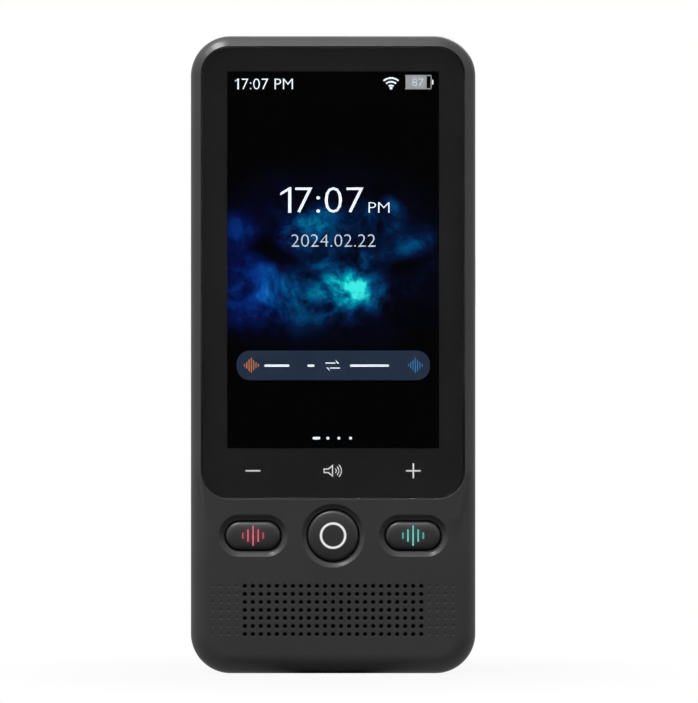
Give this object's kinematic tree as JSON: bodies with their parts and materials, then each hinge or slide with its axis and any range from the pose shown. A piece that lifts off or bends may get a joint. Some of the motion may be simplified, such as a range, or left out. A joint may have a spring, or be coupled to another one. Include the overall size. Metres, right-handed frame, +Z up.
{
  "type": "handheld translator",
  "caption": "Slim slab translator with a glass front, pill and round keys below it and a perforated speaker grille; stands upright or lies on its back.",
  "frame": {"origin": "middle of the bottom edge, on the flat that the part stands on", "axes": "+Z up along the length, +Y towards the back, +X to the right of someone who looks at the front"},
  "size_m": [0.0672, 0.0136, 0.15],
  "materials": {
    "charcoal_plastic": "fine matt grain",
    "key_plastic": "satin",
    "black_glass": "polished, printed black at the border",
    "display_stack": "polished display",
    "foam_tape": "matt black foam",
    "bright_steel": "plated sheet and screws",
    "frame_alloy": "stamped",
    "board_laminate": "green solder mask",
    "chip_epoxy": "moulded epoxy",
    "flex_film": "amber film",
    "battery_pouch": "laminated foil",
    "connector_nylon": "natural nylon",
    "cone_paper": "pressed and dyed",
    "magnet_alloy": "plated magnet",
    "copper_wire": "enamelled winding",
    "lens_glass": "polished dark window",
    "flash_resin": "clear yellowish resin",
    "red_guide": "tinted light guide",
    "teal_guide": "tinted light guide",
    "white_inlay": "white inlay"
  },
  "bodies": {
    "chassis": {"front_housing": "charcoal_plastic", "rear_housing": "charcoal_plastic", "cover_glass": "black_glass", "glass_adhesive_frame": "foam_tape", "lcd_panel": "display_stack", "lcd_backlight_tray": "frame_alloy", "mid_frame": "frame_alloy", "mid_frame_screw_lower_left": "bright_steel", "mid_frame_screw_upper_left": "bright_steel", "mid_frame_screw_lower_right": "bright_steel", "mid_frame_screw_upper_right": "bright_steel", "main_board": "board_laminate", "main_board_screw_left": "bright_steel", "main_board_screw_right": "bright_steel", "processor_shield_can": "bright_steel", "processor_chip": "chip_epoxy", "radio_shield_can": "bright_steel", "radio_chip": "chip_epoxy", "battery": "battery_pouch", "battery_connector": "connector_nylon", "lcd_flex_cable": "flex_film", "key_flex_cable": "flex_film", "usb_c_receptacle": "bright_steel", "card_socket": "bright_steel", "key_board": "board_laminate", "key_board_screw_left": "bright_steel", "key_board_screw_right": "bright_steel", "left_voice_switch": "chip_epoxy", "home_switch": "chip_epoxy", "right_voice_switch": "chip_epoxy", "power_switch": "chip_epoxy", "power_switch_bracket": "frame_alloy", "speaker_basket": "charcoal_plastic", "speaker_screw_left": "bright_steel", "speaker_screw_right": "bright_steel", "speaker_magnet": "magnet_alloy", "speaker_gasket": "foam_tape", "speaker_dust_mesh": "foam_tape", "lower_microphone": "bright_steel", "upper_microphone": "bright_steel", "wireless_antenna": "flex_film", "cellular_antenna": "flex_film", "rear_camera_module": "chip_epoxy", "camera_window": "lens_glass", "flash_led": "flash_resin", "flash_lens": "flash_resin"},
    "left_voice_key": {"left_voice_key_cap": "key_plastic", "left_voice_key_light_guide": "red_guide", "left_voice_switch_plunger": "connector_nylon"},
    "home_key": {"home_key_cap": "key_plastic", "home_key_ring": "white_inlay", "home_switch_plunger": "connector_nylon"},
    "right_voice_key": {"right_voice_key_cap": "key_plastic", "right_voice_key_light_guide": "teal_guide", "right_voice_switch_plunger": "connector_nylon"},
    "power_key": {"power_key_cap": "key_plastic", "power_switch_plunger": "connector_nylon"},
    "card_tray": {"card_tray": "charcoal_plastic"},
    "speaker_cone": {"speaker_diaphragm": "cone_paper", "speaker_voice_coil": "copper_wire"}
  },
  "joints": [
    {"name": "left_voice_key_press", "type": "slide", "parent": "chassis", "child": "left_voice_key", "axis": [0, 1, 0], "range_m": [0, 0.0004], "stiffness_N_per_m": 400},
    {"name": "home_key_press", "type": "slide", "parent": "chassis", "child": "home_key", "axis": [0, 1, 0], "range_m": [0, 0.0004], "stiffness_N_per_m": 400},
    {"name": "right_voice_key_press", "type": "slide", "parent": "chassis", "child": "right_voice_key", "axis": [0, 1, 0], "range_m": [0, 0.0004], "stiffness_N_per_m": 400},
    {"name": "power_key_press", "type": "slide", "parent": "chassis", "child": "power_key", "axis": [-1, 0, 0], "range_m": [0, 0.00025], "stiffness_N_per_m": 400},
    {"name": "card_tray_slide", "type": "slide", "parent": "chassis", "child": "card_tray", "axis": [-1, 0, 0], "range_m": [0, 0.015]},
    {"name": "speaker_cone_travel", "type": "slide", "parent": "chassis", "child": "speaker_cone", "axis": [0, -1, 0], "range_m": [-0.00025, 0.00025], "stiffness_N_per_m": 400}
  ]
}
